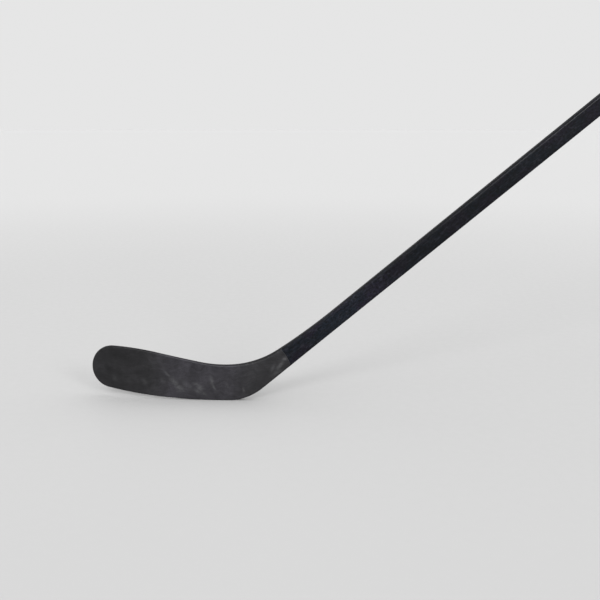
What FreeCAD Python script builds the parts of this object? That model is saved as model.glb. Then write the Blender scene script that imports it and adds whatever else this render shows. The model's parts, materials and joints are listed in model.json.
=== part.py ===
import FreeCAD, Part
import math
import os

import Sketcher

# Ice hockey stick, standing on the sole of its blade as it is held in play.
# Origin: the point of the sole that touches the floor.  +X runs from the toe towards the
# butt end of the shaft, +Y towards the side that the blade curves to, +Z is up.
# One outline in the XZ plane and one plan in the XY plane describe the whole outside.  Each
# inner surface is the same outline and plan, moved inwards by the laminate over it.

DOC = FreeCAD.newDocument("hockey_stick")
VECTOR = FreeCAD.Vector

# alias: (value, what it is); millimetres and degrees
DIMENSIONS = {
    "shaft_width": (28.5, "shaft, from narrow side to narrow side"),
    "shaft_depth": (18.5, "shaft, from wide face to wide face"),
    "shaft_corner": (5.0, "corner radius of the shaft's section"),
    "tube_wall": (2.0, "wall of the shaft tube"),
    "shaft_angle": (39.9, "shaft above the floor"),
    "shaft_length": (1500.0, "heel corner to the end of the tube"),
    "heel_offset": (41.2, "sole contact to the heel corner, along X"),
    "rocker_radius": (1500.0, "long curve of the sole"),
    "heel_radius": (94.0, "heel, between sole and shaft"),
    "toe_reach": (241.5, "sole contact to the tip of the toe, along X"),
    "toe_lower_radius": (34.5, "toe, below its tip"),
    "toe_upper_radius": (43.0, "toe, above its tip"),
    "crown_radius": (400.0, "top edge behind the toe"),
    "slope_angle": (11.7, "straight fall of the top edge"),
    "slope_length": (76.5, "length of that straight"),
    "dip_radius": (236.0, "top edge, down to its lowest point"),
    "throat_radius": (161.0, "top edge, rising to the shaft"),
    "flare_radius": (1110.0, "end of the throat, tangent to the shaft"),
    "heel_thickness": (12.0, "blade thickness where its curve starts"),
    "bend_start": (7.0, "X where the curve starts"),
    "bend_middle": (103.0, "distance towards the toe where the curve tightens"),
    "bend_end": (255.0, "distance towards the toe where the plan ends, past the tip"),
    "hosel_top": (114.0, "X where the hosel has the shaft's full depth"),
    "hosel_blend": (800.0, "radius of the hosel's faces there"),
    "front_heel_bend": (1700.0, "convex face, heel half"),
    "front_toe_bend": (455.0, "convex face, toe half"),
    "back_heel_bend": (818.0, "concave face, heel half"),
    "back_toe_bend": (509.0, "concave face, toe half"),
    "middle_heel_bend": (1100.0, "surface half-way between the faces, heel half"),
    "middle_toe_bend": (480.0, "the same, toe half"),
    "blade_edge": (2.2, "edge radius of the blade"),
    "joint_height": (104.5, "heel corner to the joint, along the shaft"),
    "joint_tilt": (13.0, "joint line off square to the shaft"),
    "joint_radius": (70.0, "curve of the joint line"),
    "seam_width": (0.6, "filled seam at the joint"),
    "glue_gap": (0.3, "adhesive round the tenon and the plug"),
    "tenon_wall": (1.8, "laminate of the tenon"),
    "tenon_length": (65.0, "joint to the end of the tenon, inside the shaft"),
    "hosel_height": (60.0, "heel corner to the foot of the hosel, along the shaft"),
    "skin": (1.2, "laminate of the blade's faces"),
    "edge_band": (4.0, "laminate round the blade's edge"),
    "rib_thickness": (3.0, "carbon rib between the cores"),
    "rib_drop": (6.5, "fall of the rib towards the heel"),
    "rib_height": (43.0, "top of the rib above the floor, at the rib's middle"),
    "rib_middle": (100.0, "distance of that middle towards the toe"),
    "toe_insert_length": (34.0, "toe insert, from the tip"),
    "cap_thickness": (3.5, "flange of the butt cap"),
    "cap_edge": (1.5, "edge radius of that flange"),
    "cap_stem": (45.0, "stem of the butt cap, inside the tube"),
    "cap_wall": (2.0, "wall of the stem"),
    "cap_floor": (2.5, "solid end of the flange over the stem's hollow"),
}

SHEET = DOC.addObject("Spreadsheet::Sheet", "Sizes")
for row, (alias, (value, note)) in enumerate(DIMENSIONS.items(), start=1):
    SHEET.set(f"A{row}", alias)
    SHEET.set(f"B{row}", str(value))
    SHEET.setAlias(f"B{row}", alias)
    SHEET.set(f"C{row}", note)
DOC.recompute()


def size(alias):
    """A driving dimension, read back from the sheet."""
    return float(getattr(SHEET, alias))


# ------------------------------------------------------------ directions and places

ANGLE = math.radians(size("shaft_angle"))
ALONG = VECTOR(math.cos(ANGLE), 0, math.sin(ANGLE))
ACROSS = VECTOR(-math.sin(ANGLE), 0, math.cos(ANGLE))
LIFT_AXIS = VECTOR(0, -1, 0)    # turning about this axis lifts +X towards +Z

HEEL = VECTOR(size("heel_offset"), 0, 0)
AXIS_FOOT = HEEL + ACROSS * (size("shaft_width") / 2)
BUTT_END = AXIS_FOOT + ALONG * size("shaft_length")
JOINT = AXIS_FOOT + ALONG * size("joint_height")

OVERRUN = 20.0      # the outline runs this far past the butt end and is cut square there
HALF_SPAN = 80.0    # the outline's prisms reach this far to each side of Y = 0
BELOW = 20.0        # the plan's prisms start this far below the floor
TALLEST = 1100.0    # and end this far above it, past the butt end
FAR = 440.0         # size of a cutter where only one of its faces matters
JOINT_SPREAD = math.radians(25)     # half of the joint line's arc, past both narrow sides
NEARLY_PARALLEL = 0.98

# Where each arc of a sketch ends before its constraints settle it: headings in degrees.
HEEL_END = 180.1
SOLE_END = 171.9
THROAT_END = 33.4
FACE_ENDS = {"front": (178.0, 174.3, 153.0), "back": (182.0, 174.3, 156.0)}
MIDDLE_ENDS = (174.0, 155.0)
HOSEL_TAPER = 80.0      # and the first length of the hosel's straight taper

RULE = Sketcher.Constraint
ORIGIN = (-1, 1)        # a sketch's own origin, and the numbers that it gives its axes
HORIZONTAL_AXIS = -1
VERTICAL_AXIS = -2
CENTRE = 3              # the middle of an arc, as its ends are 1 and 2


# ------------------------------------------------------------ sketches

def bind(sketch, constraint, expression):
    """Add a dimension to a sketch and tie it to the sheet."""
    index = sketch.addConstraint(constraint)
    sketch.setExpression(f"Constraints[{index}]", expression)


class Chain:
    """Lines and arcs in a sketch, each tangent to the one before it."""

    def __init__(self, sketch, point, heading):
        self.sketch = sketch
        self.first_point = VECTOR(point[0], point[1], 0)
        self.point = self.first_point
        self.heading = math.radians(heading)
        self.ends = []      # (geometry, its first end, its last end)

    def join(self, geometry, first, last):
        index = self.sketch.addGeometry(geometry, False)
        if self.ends:
            before, _, end = self.ends[-1]
            self.sketch.addConstraint(RULE("Tangent", before, end, index, first))
        self.ends.append((index, first, last))
        return index

    def line(self, length):
        start = self.point
        step = VECTOR(math.cos(self.heading), math.sin(self.heading), 0)
        self.point = start + step * length
        return self.join(Part.LineSegment(start, self.point), 1, 2)

    def plain_arc(self, radius, heading):
        """An arc that turns the chain to a new heading."""
        turn = math.radians(heading) - self.heading
        side = math.copysign(1, turn)
        normal = VECTOR(-math.sin(self.heading), math.cos(self.heading), 0) * side
        circle = Part.Circle(self.point + normal * radius, VECTOR(0, 0, 1), radius)
        start = math.atan2(-normal.y, -normal.x)
        self.heading = math.radians(heading)
        if side > 0:
            curve = Part.ArcOfCircle(circle, start, start + turn)
            self.point = curve.EndPoint
            return self.join(curve, 1, 2)
        curve = Part.ArcOfCircle(circle, start + turn, start)
        self.point = curve.StartPoint
        return self.join(curve, 2, 1)

    def arc(self, alias, heading):
        """The same, with its radius tied to the sheet."""
        index = self.plain_arc(size(alias), heading)
        bind(self.sketch, RULE("Radius", index, size(alias)), f"Sizes.{alias}")
        return index


def link(sketch, chain_a, end_a, chain_b, end_b):
    """A straight edge from an end of one chain to an end of another; 0 first, -1 last."""
    point_a = chain_a.first_point if end_a == 0 else chain_a.point
    point_b = chain_b.first_point if end_b == 0 else chain_b.point
    index = sketch.addGeometry(Part.LineSegment(point_a, point_b), False)
    for own_end, chain, end in ((1, chain_a, end_a), (2, chain_b, end_b)):
        geometry, first, last = chain.ends[end]
        other = first if end == 0 else last
        sketch.addConstraint(RULE("Coincident", index, own_end, geometry, other))
    return index


def new_sketch(name, upright):
    sketch = DOC.addObject("Sketcher::SketchObject", name)
    if upright:
        sketch.Placement = FreeCAD.Placement(VECTOR(), FreeCAD.Rotation(VECTOR(1, 0, 0), 90))
    return sketch


def stick_outline():
    """The stick seen square to its wide faces: sole, toe, top edge, throat and shaft."""
    sketch = new_sketch("stick_outline", True)
    reach = size("shaft_length") + OVERRUN
    corner = HEEL + ALONG * reach
    heel_tangent = size("heel_radius") * math.tan(ANGLE / 2)
    chain = Chain(sketch, (corner.x, corner.z), math.degrees(ANGLE) + 180)
    lower = chain.line(reach - heel_tangent)
    chain.arc("heel_radius", HEEL_END)
    sole = chain.arc("rocker_radius", SOLE_END)
    toe_lower = chain.arc("toe_lower_radius", 90)
    toe_upper = chain.arc("toe_upper_radius", 0)
    crown = chain.arc("crown_radius", -size("slope_angle"))
    slope = chain.line(size("slope_length"))
    dip = chain.arc("dip_radius", 0)
    throat = chain.arc("throat_radius", THROAT_END)
    chain.arc("flare_radius", size("shaft_angle"))
    to_end = (corner - VECTOR(chain.point.x, 0, chain.point.y)).dot(ALONG)
    upper = chain.line(to_end)
    butt = link(sketch, chain, -1, chain, 0)

    add = sketch.addConstraint
    bind(sketch, RULE("Angle", lower, ANGLE - math.pi), "Sizes.shaft_angle - 180")
    corner_depth = size("heel_offset") * math.sin(ANGLE)
    bind(sketch, RULE("Distance", *ORIGIN, lower, corner_depth),
         "Sizes.heel_offset * sin(Sizes.shaft_angle * 1deg)")
    add(RULE("Parallel", upper, lower))
    bind(sketch, RULE("Distance", upper, 2, lower, size("shaft_width")), "Sizes.shaft_width")
    add(RULE("Perpendicular", butt, lower))
    butt_depth = reach + size("heel_offset") * math.cos(ANGLE)
    bind(sketch, RULE("Distance", *ORIGIN, butt, butt_depth),
         f"Sizes.shaft_length + {OVERRUN} + Sizes.heel_offset * cos(Sizes.shaft_angle * 1deg)")
    add(RULE("PointOnObject", sole, CENTRE, VERTICAL_AXIS))
    bind(sketch, RULE("DistanceY", *ORIGIN, sole, CENTRE, size("rocker_radius")),
         "Sizes.rocker_radius")
    add(RULE("Horizontal", toe_lower, CENTRE, toe_upper, CENTRE))
    bind(sketch, RULE("DistanceX", toe_upper, 2, *ORIGIN, size("toe_reach")), "Sizes.toe_reach")
    add(RULE("Vertical", toe_upper, CENTRE, crown, CENTRE))
    bind(sketch, RULE("Angle", slope, -math.radians(size("slope_angle"))), "-Sizes.slope_angle")
    bind(sketch, RULE("Distance", slope, size("slope_length")), "Sizes.slope_length")
    add(RULE("Vertical", dip, CENTRE, throat, CENTRE))
    return sketch


def place_bends(sketch, heel_half, toe_half):
    """Fix where the two arcs of one of the blade's curves meet and where they end."""
    for arc, alias in ((heel_half, "bend_middle"), (toe_half, "bend_end")):
        bind(sketch, RULE("DistanceX", arc, 1, *ORIGIN, size(alias)), f"Sizes.{alias}")


def stick_plan(name, with_blade):
    """The stick seen from above: the shaft's depth, the hosel and both faces of the blade."""
    sketch = new_sketch(name, False)
    end = (HEEL + ALONG * (size("shaft_length") + 2 * OVERRUN)).x
    half = size("shaft_depth") / 2
    heel_half = size("heel_thickness") / 2
    add = sketch.addConstraint
    chains = []
    for side, face in ((-1, "front"), (1, "back")):
        hosel_end, heel_end, toe_end = FACE_ENDS[face]
        chain = Chain(sketch, (end, side * half), 180)
        shaft = chain.line(end - size("hosel_top"))
        chain.arc("hosel_blend", hosel_end)
        taper = chain.line(HOSEL_TAPER)
        chains.append(chain)
        add(RULE("Horizontal", shaft))
        add(RULE("DistanceX", *ORIGIN, shaft, 1, end))
        bind(sketch, RULE("DistanceY", *ORIGIN, shaft, 1, side * half),
             f"{side} * Sizes.shaft_depth / 2")
        bind(sketch, RULE("DistanceX", *ORIGIN, shaft, 2, size("hosel_top")), "Sizes.hosel_top")
        bind(sketch, RULE("DistanceX", *ORIGIN, taper, 2, size("bend_start")), "Sizes.bend_start")
        bind(sketch, RULE("DistanceY", *ORIGIN, taper, 2, side * heel_half),
             f"{side} * Sizes.heel_thickness / 2")
        if with_blade:
            heel_half_bend = chain.arc(f"{face}_heel_bend", heel_end)
            toe_half_bend = chain.arc(f"{face}_toe_bend", toe_end)
            place_bends(sketch, heel_half_bend, toe_half_bend)
    link(sketch, chains[0], 0, chains[1], 0)
    link(sketch, chains[0], -1, chains[1], -1)
    return sketch


def middle_plan():
    """Everything in front of the surface half-way between the blade's faces, from above."""
    sketch = new_sketch("middle_plan", False)
    add = sketch.addConstraint
    chain = Chain(sketch, (FAR, 0), 180)
    straight = chain.line(FAR - size("bend_start"))
    heel_half_bend = chain.arc("middle_heel_bend", MIDDLE_ENDS[0])
    toe_half_bend = chain.arc("middle_toe_bend", MIDDLE_ENDS[1])
    add(RULE("Horizontal", straight))
    add(RULE("PointOnObject", straight, 1, HORIZONTAL_AXIS))
    add(RULE("DistanceX", *ORIGIN, straight, 1, FAR))
    bind(sketch, RULE("DistanceX", *ORIGIN, straight, 2, size("bend_start")), "Sizes.bend_start")
    place_bends(sketch, heel_half_bend, toe_half_bend)
    corners = (chain.point, VECTOR(-size("bend_end"), -HALF_SPAN, 0), VECTOR(FAR, -HALF_SPAN, 0),
               chain.first_point)
    end = (toe_half_bend, 1)
    edges = []
    for start, stop, way in zip(corners, corners[1:], ("Vertical", "Horizontal", "Vertical")):
        edges.append(sketch.addGeometry(Part.LineSegment(start, stop), False))
        add(RULE("Coincident", *end, edges[-1], 1))
        add(RULE(way, edges[-1]))
        end = (edges[-1], 2)
    add(RULE("Coincident", *end, straight, 1))
    add(RULE("DistanceY", edges[1], 1, *ORIGIN, HALF_SPAN))
    return sketch


# ------------------------------------------------------------ solids

def feature(kind, name, **properties):
    item = DOC.addObject(kind, name)
    for key, value in properties.items():
        setattr(item, key, value)
    return item


def prism(profile, upright):
    """An outline run along Y to both sides, or a plan run up along Z."""
    item = feature("Part::Extrusion", f"{profile.Name}_prism", Base=profile, Solid=True)
    item.DirMode = "Custom"
    item.Dir = VECTOR(0, 1, 0) if upright else VECTOR(0, 0, 1)
    item.LengthFwd = HALF_SPAN if upright else TALLEST
    item.LengthRev = HALF_SPAN if upright else BELOW
    return item


def inset(profile, name, layers):
    """The same profile moved inwards by the sum of some sizes."""
    item = feature("Part::Offset2D", f"{profile.Name}_{name}", Source=profile)
    item.setExpression("Value", "-(" + " + ".join(f"Sizes.{alias}" for alias in layers) + ")")
    return item


def common(name, base, tool):
    return feature("Part::Common", name, Base=base, Tool=tool)


def cut(name, base, tool):
    return feature("Part::Cut", name, Base=base, Tool=tool)


def fuse(name, base, tool):
    return feature("Part::Fuse", name, Base=base, Tool=tool)


def half_space(name, point, angle):
    """A large box that starts at a point and runs from there in a direction.

    The direction lies in the XZ plane, at an angle above +X.
    """
    turn = FreeCAD.Rotation(LIFT_AXIS, angle)
    corner = point + turn.multVec(VECTOR(0, -HALF_SPAN, -FAR))
    box = feature("Part::Box", name, Length=4 * FAR, Width=2 * HALF_SPAN, Height=2 * FAR)
    box.Placement = FreeCAD.Placement(corner, turn)
    return box


def blade_side(name, growth):
    """All that lies on the blade's side of the joint line, which bows towards the butt."""
    angle = size("shaft_angle") - size("joint_tilt")
    outwards = FreeCAD.Rotation(LIFT_AXIS, angle).multVec(VECTOR(1, 0, 0))
    centre = JOINT - outwards * size("joint_radius")
    drum = feature("Part::Cylinder", f"{name}_drum", Height=2 * HALF_SPAN)
    drum.setExpression("Radius", f"Sizes.joint_radius + {growth}")
    drum.Placement = FreeCAD.Placement(centre + VECTOR(0, HALF_SPAN, 0),
                                       FreeCAD.Rotation(VECTOR(1, 0, 0), 90))
    start = centre + outwards * (size("joint_radius") * math.cos(JOINT_SPREAD))
    block = half_space(f"{name}_block", start, angle + 180)
    return fuse(name, drum, block)


def rim_edges(shape):
    """The long edges between an outline's faces and a plan's faces, as edge numbers."""
    numbers = []
    for number, edge in enumerate(shape.Edges, start=1):
        if isinstance(edge.Curve, Part.Line):
            way = edge.tangentAt(edge.FirstParameter)
            ends_here = abs(way.dot(ACROSS)) > NEARLY_PARALLEL
            if ends_here or abs(way.y) > NEARLY_PARALLEL or abs(way.z) > NEARLY_PARALLEL:
                continue
        numbers.append(number)
    return numbers


def edge_radius(x):
    """Small on the blade, growing along the hosel to the corner radius of the shaft."""
    start = size("bend_start")
    share = (x - start) / (size("hosel_top") - start)
    share = min(max(share, 0), 1)
    return size("blade_edge") + (size("shaft_corner") - size("blade_edge")) * share


def round_outside(name, base):
    """Round the outside's rim with a radius that follows edge_radius."""
    DOC.recompute()
    tip = min((vertex.Point for vertex in base.Shape.Vertexes), key=lambda point: point.x)
    entries = []
    for number in rim_edges(base.Shape):
        edge = base.Shape.Edges[number - 1]
        ends = sorted((edge.firstVertex().Point, edge.lastVertex().Point), key=lambda p: p.x)
        middle = (ends[0] + ends[1]) / 2
        axis_height = AXIS_FOOT.z + (middle.x - AXIS_FOOT.x) * math.tan(ANGLE)
        under = middle.z < max(tip.z, axis_height)
        # the first radius belongs to the end met last on the way from sole to top edge
        last, first = (ends[1], ends[0]) if under else (ends[0], ends[1])
        entries.append((number, edge_radius(first.x), edge_radius(last.x)))
    rounded = feature("Part::Fillet", name, Base=base)
    rounded.Edges = entries
    return rounded


def inner_bar(name, layers):
    """The space inside the hosel and shaft, some layers under their outside."""
    upright = prism(inset(OUTLINE, name, layers), True)
    flat = prism(inset(SHAFT_PLAN, name, layers), False)
    square = common(f"{name}_square", upright, flat)
    trimmed = common(f"{name}_trimmed", square, HOSEL_SIDE)
    DOC.recompute()
    corner = size("shaft_corner") - sum(size(alias) for alias in layers)
    rounded = feature("Part::Fillet", f"{name}_bar", Base=trimmed)
    rounded.Edges = [(number, corner, corner) for number in rim_edges(trimmed.Shape)]
    return rounded


def node(item, name):
    """Name a finished sub-part; its label names its file."""
    item.Label = name
    NODES.append(item)


NODES = []
OUTLINE = stick_outline()
PLAN = stick_plan("stick_plan", True)
SHAFT_PLAN = stick_plan("shaft_plan", False)
MIDDLE = middle_plan()
DOC.recompute()

BLANK = common("blank", prism(OUTLINE, True), prism(PLAN, False))
OUTSIDE = round_outside("outside", BLANK)

shaft_degrees = size("shaft_angle")
HOSEL_SIDE = half_space("hosel_side", HEEL + ALONG * size("hosel_height"), shaft_degrees)
PAST_TENON = half_space("past_tenon", JOINT + ALONG * size("tenon_length"), shaft_degrees)
PAST_BUTT = half_space("past_butt", BUTT_END, shaft_degrees)
BLADE_SIDE = blade_side("blade_side", "0")
SEAM_SIDE = blade_side("seam_side", "Sizes.seam_width")


# ------------------------------------------------------------ shaft, joint and hosel

BORE = inner_bar("bore", ("tube_wall",))
TENON = inner_bar("tenon", ("tube_wall", "glue_gap"))
CORE = inner_bar("core", ("tube_wall", "glue_gap", "tenon_wall"))


def shaft_parts():
    tube = cut("tube_outside", cut("tube_blank", OUTSIDE, SEAM_SIDE), PAST_BUTT)
    node(cut("tube", tube, BORE), "shaft_tube")

    seam_slice = cut("seam_slice", SEAM_SIDE, BLADE_SIDE)
    seam = common("seam_block", OUTSIDE, seam_slice)
    node(cut("seam", seam, TENON), "joint_seam")

    hosel = common("hosel_block", common("blade_blank", OUTSIDE, BLADE_SIDE), HOSEL_SIDE)
    tenon = cut("tenon_block", cut("tenon_long", TENON, BLADE_SIDE), PAST_TENON)
    node(cut("hosel", fuse("hosel_and_tenon", hosel, tenon), CORE), "hosel_tenon")
    node(cut("foam_bar", CORE, PAST_TENON), "hosel_core")

    glue = cut("glue_block", cut("glue_long", BORE, SEAM_SIDE), PAST_TENON)
    node(cut("glue", glue, TENON), "tenon_glue")


# ------------------------------------------------------------ blade

def blade_parts():
    blade = cut("blade", DOC.blade_blank, HOSEL_SIDE)
    inside = prism(inset(OUTLINE, "band", ("edge_band",)), True)
    under_skin = prism(inset(PLAN, "skin", ("skin",)), False)
    node(cut("band", blade, inside), "blade_edge_band")

    panel = common("panel", blade, inside)
    faces = cut("faces", panel, under_skin)
    in_front = prism(MIDDLE, False)
    node(common("front_face", faces, in_front), "blade_backhand_face")
    node(cut("back_face", faces, in_front), "blade_forehand_face")

    filling = common("filling", panel, under_skin)
    toe_start = VECTOR(size("toe_insert_length") - size("toe_reach"), 0, 0)
    toe_side = half_space("toe_side", toe_start, 180)
    node(common("toe_filling", filling, toe_side), "toe_insert")

    cores = cut("cores", filling, toe_side)
    slope = FreeCAD.Rotation(VECTOR(0, 1, 0), size("rib_drop"))
    rib_top = VECTOR(-size("rib_middle"), 0, size("rib_height"))
    above_rib = half_space("above_rib", rib_top, 90 - size("rib_drop"))
    rib_plate = feature("Part::Box", "rib_plate", Length=2 * FAR, Width=2 * HALF_SPAN)
    rib_plate.setExpression("Height", "Sizes.rib_thickness")
    plate_corner = VECTOR(-FAR, -HALF_SPAN, -size("rib_thickness"))
    rib_plate.Placement = FreeCAD.Placement(rib_top + slope.multVec(plate_corner), slope)
    node(common("rib", cores, rib_plate), "blade_rib")
    node(common("upper_core", cores, above_rib), "blade_upper_core")
    node(cut("lower_core", cut("lower_cores", cores, above_rib), rib_plate), "blade_lower_core")


# ------------------------------------------------------------ butt end

def butt_placement():
    """Local Z runs out of the shaft's end, local X across its width."""
    turn = FreeCAD.Rotation(ACROSS, VECTOR(0, -1, 0), ALONG, "ZXY")
    return FreeCAD.Placement(BUTT_END, turn)


def section_sketch(body, name, layers):
    """The shaft's rounded section, some layers under its outside, on the body's XY plane."""
    sketch = body.newObject("Sketcher::SketchObject", name)
    base_plane = next(item for item in body.Origin.OriginFeatures if item.Role == "XY_Plane")
    sketch.AttachmentSupport = [(base_plane, "")]
    sketch.MapMode = "FlatFace"
    depth = sum(size(alias) for alias in layers)
    less = " - ".join([""] + [f"Sizes.{alias}" for alias in layers])
    less_twice = less.replace(" - ", " - 2 * ")
    half_x = size("shaft_width") / 2 - depth
    half_y = size("shaft_depth") / 2 - depth
    corner = size("shaft_corner") - depth
    chain = Chain(sketch, (-half_x + corner, -half_y), 0)
    sides = []
    arcs = []
    for quarter_turns, half_side in enumerate((half_x, half_y, half_x, half_y), start=1):
        sides.append(chain.line(2 * (half_side - corner)))
        arcs.append(chain.plain_arc(corner, 90 * quarter_turns))
    sketch.addConstraint(RULE("Tangent", arcs[-1], 2, sides[0], 1))
    for side in (sides[0], sides[2]):
        sketch.addConstraint(RULE("Horizontal", side))
    for side in (sides[1], sides[3]):
        sketch.addConstraint(RULE("Vertical", side))
    for arc in arcs[1:]:
        sketch.addConstraint(RULE("Equal", arcs[0], arc))
    bind(sketch, RULE("Radius", arcs[0], corner), f"Sizes.shaft_corner{less}")
    bind(sketch, RULE("DistanceX", sides[3], 1, sides[1], 1, 2 * half_x),
         f"Sizes.shaft_width{less_twice}")
    bind(sketch, RULE("DistanceY", sides[0], 1, sides[2], 1, 2 * half_y),
         f"Sizes.shaft_depth{less_twice}")
    sketch.addConstraint(RULE("Symmetric", arcs[0], 3, arcs[2], 3, -1, 1))
    return sketch


def pad(body, name, sketch, expression, reverse=False):
    item = body.newObject("PartDesign::Pad", name)
    item.Profile = sketch
    item.setExpression("Length", expression)
    item.Reversed = reverse
    sketch.Visibility = False
    return item


def butt_parts():
    stem_layers = ("tube_wall", "glue_gap")
    cap = DOC.addObject("PartDesign::Body", "cap")
    flange = pad(cap, "flange", section_sketch(cap, "flange_section", ()), "Sizes.cap_thickness")
    DOC.recompute()
    top = [f"Edge{number}" for number, edge in enumerate(flange.Shape.Edges, start=1)
           if edge.BoundBox.ZMin > size("cap_thickness") / 2]
    softened = cap.newObject("PartDesign::Fillet", "flange_edge")
    softened.Base = (flange, top)
    softened.setExpression("Radius", "Sizes.cap_edge")
    pad(cap, "stem", section_sketch(cap, "stem_section", stem_layers), "Sizes.cap_stem", True)
    DOC.recompute()
    before = cap.Shape.Volume
    hollow = cap.newObject("PartDesign::Pocket", "stem_hollow")
    hollow.Profile = section_sketch(cap, "hollow_section", stem_layers + ("cap_wall",))
    hollow.Profile[0].AttachmentOffset = FreeCAD.Placement(
        VECTOR(0, 0, size("cap_thickness") - size("cap_floor")), FreeCAD.Rotation())
    hollow.setExpression("Length", "Sizes.cap_stem + Sizes.cap_thickness - Sizes.cap_floor")
    DOC.recompute()
    if cap.Shape.Volume >= before:
        raise RuntimeError("the hollow of the butt cap cuts nothing")
    cap.Placement = butt_placement()
    node(cap, "butt_cap")

    glue = DOC.addObject("PartDesign::Body", "cap_adhesive")
    pad(glue, "sleeve", section_sketch(glue, "sleeve_section", ("tube_wall",)),
        "Sizes.cap_stem", True)
    DOC.recompute()
    bore = glue.newObject("PartDesign::Pocket", "sleeve_bore")
    bore.Profile = section_sketch(glue, "sleeve_bore_section", stem_layers)
    bore.setExpression("Length", "Sizes.cap_stem")
    glue.Placement = butt_placement()
    node(glue, "cap_glue")


shaft_parts()
blade_parts()
butt_parts()
DOC.recompute()


# ------------------------------------------------------------ checks and files

for item in DOC.Objects:
    if "Invalid" in item.State or "Error" in item.State:
        raise RuntimeError(f"{item.Label} did not compute: {item.State}")

os.makedirs("parts", exist_ok=True)
for item in NODES:
    shape = item.Shape
    if shape.isNull() or not shape.isValid() or not shape.Solids:
        raise RuntimeError(f"{item.Label} has no valid solid")
    shape.exportStep(f"parts/{item.Label}.step")
    print(f"{item.Label}: {len(shape.Solids)} solid, {shape.Volume / 1000:.2f} cm3")
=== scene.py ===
import json
import math
from functools import cached_property

import bmesh
import bpy
import numpy as np
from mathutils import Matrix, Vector


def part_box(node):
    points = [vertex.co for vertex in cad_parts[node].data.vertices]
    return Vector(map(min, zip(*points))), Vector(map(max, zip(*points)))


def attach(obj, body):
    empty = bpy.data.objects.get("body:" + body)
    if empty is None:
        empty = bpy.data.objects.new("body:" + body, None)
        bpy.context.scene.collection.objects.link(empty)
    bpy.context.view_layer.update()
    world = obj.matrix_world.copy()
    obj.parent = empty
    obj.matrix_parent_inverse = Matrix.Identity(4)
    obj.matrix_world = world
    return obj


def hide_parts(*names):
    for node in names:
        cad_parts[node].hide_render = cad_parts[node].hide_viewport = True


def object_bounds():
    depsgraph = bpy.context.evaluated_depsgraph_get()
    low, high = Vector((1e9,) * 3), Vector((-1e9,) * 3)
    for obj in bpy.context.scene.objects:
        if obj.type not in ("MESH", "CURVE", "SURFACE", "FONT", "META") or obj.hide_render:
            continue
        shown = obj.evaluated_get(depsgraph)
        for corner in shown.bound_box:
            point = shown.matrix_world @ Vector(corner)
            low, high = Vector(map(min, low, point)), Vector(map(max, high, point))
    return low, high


# An ice hockey stick, standing on the sole of its blade, with its shaft rising to the right.
# The parts that show are built again as fine meshes on the outline, plan and sections of the
# CAD model.  Their shapes are worked out in millimetres and scaled as each mesh is made.

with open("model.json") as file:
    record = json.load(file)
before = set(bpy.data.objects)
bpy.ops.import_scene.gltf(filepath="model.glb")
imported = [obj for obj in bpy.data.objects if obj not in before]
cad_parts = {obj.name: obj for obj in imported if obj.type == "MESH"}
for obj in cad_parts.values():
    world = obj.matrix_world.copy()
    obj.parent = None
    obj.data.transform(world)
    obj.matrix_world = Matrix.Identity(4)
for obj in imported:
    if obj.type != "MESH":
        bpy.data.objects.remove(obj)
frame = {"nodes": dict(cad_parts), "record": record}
CAD_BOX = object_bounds()
MM = 0.001


# ------------------------------------------------------------ sizes, millimetres

def mount(name):
    """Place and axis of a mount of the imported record, seen square to the wide faces."""
    found = next(item for item in frame["record"]["mounts"] if item["name"] == name)
    place, axis = (np.array(found[key])[[0, 2]] for key in ("pos_m", "axis"))
    return place / MM, axis


BUTT_FACE, ALONG = mount("butt_end")
ACROSS = np.array((-ALONG[1], ALONG[0]))
ANGLE = math.atan2(ALONG[1], ALONG[0])

# the shaft
SHAFT_WIDTH = 28.5
SHAFT_HALF_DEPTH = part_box("shaft_tube")[1].y / MM
SHAFT_CORNER = 5.0
CAP_THICKNESS = 3.5
HEEL = np.array((41.2, 0.0))
SHAFT_LENGTH = (BUTT_FACE - HEEL) @ ALONG - CAP_THICKNESS

# the outline, from the sole round the toe and back along the top edge
ROCKER_RADIUS = 1500.0
HEEL_RADIUS = 94.0
TOE_REACH = -CAD_BOX[0].x / MM
TOE_LOWER_RADIUS = 34.5
TOE_UPPER_RADIUS = 43.0
CROWN_RADIUS = 400.0
SLOPE_ANGLE = math.radians(11.7)
SLOPE_LENGTH = 76.5
DIP_RADIUS = 236.0
THROAT_RADIUS = 161.0
FLARE_RADIUS = 1110.0

# the plan: X of its changes, and its radii
HEEL_HALF_THICKNESS = 6.0
BEND_START = 7.0
BEND_MIDDLE = -103.0
HOSEL_TOP = 114.0
HOSEL_BLEND = 800.0
HEEL_BEND = {-1: 1700.0, 1: 818.0}      # by side: -1 the convex front, 1 the concave back
TOE_BEND = {-1: 455.0, 1: 509.0}
BLADE_EDGE = 2.2
EDGE_BAND = 4.0
SKIN = 1.2

# the joint, with stations along the shaft from the heel corner
HOSEL_HEIGHT = 60.0
JOINT_HEIGHT = 104.5
JOINT_TILT = math.radians(13)
JOINT_RADIUS = 70.0
JOINT_FADE = 45.0       # the rings turn square to the shaft within this length past the joint
FOOT_FADE = 25.0        # and the blade's rungs square to its edge within this length from the hosel
SEAM_WIDTH = 0.6
SEAM_SINK = 0.15
TUBE_WALL = 2.0
GLUE_GAP = 0.3
TENON_LAYER = TUBE_WALL + GLUE_GAP      # how deep a tenon or stem lies under the outside
TENON_WALL = 1.8
TENON_LENGTH = 65.0

# the butt cap
CAP_EDGE = 1.5
CAP_DISH = 0.5
CAP_STEM = 45.0
CAP_WALL = 2.0
CAP_FLOOR = 2.5
# the dish of the cap's face: share of the way out to the rim, and share of the full depth
DISH_PROFILE = ((0.0, 1.0), (0.25, 1.0), (0.5, 1.0), (0.72, 0.9), (0.8, 0.45), (0.86, 0.1),
                (0.93, 0.0))
CEILING_SHARES = (0.6, 0.3, 0.0)

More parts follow.
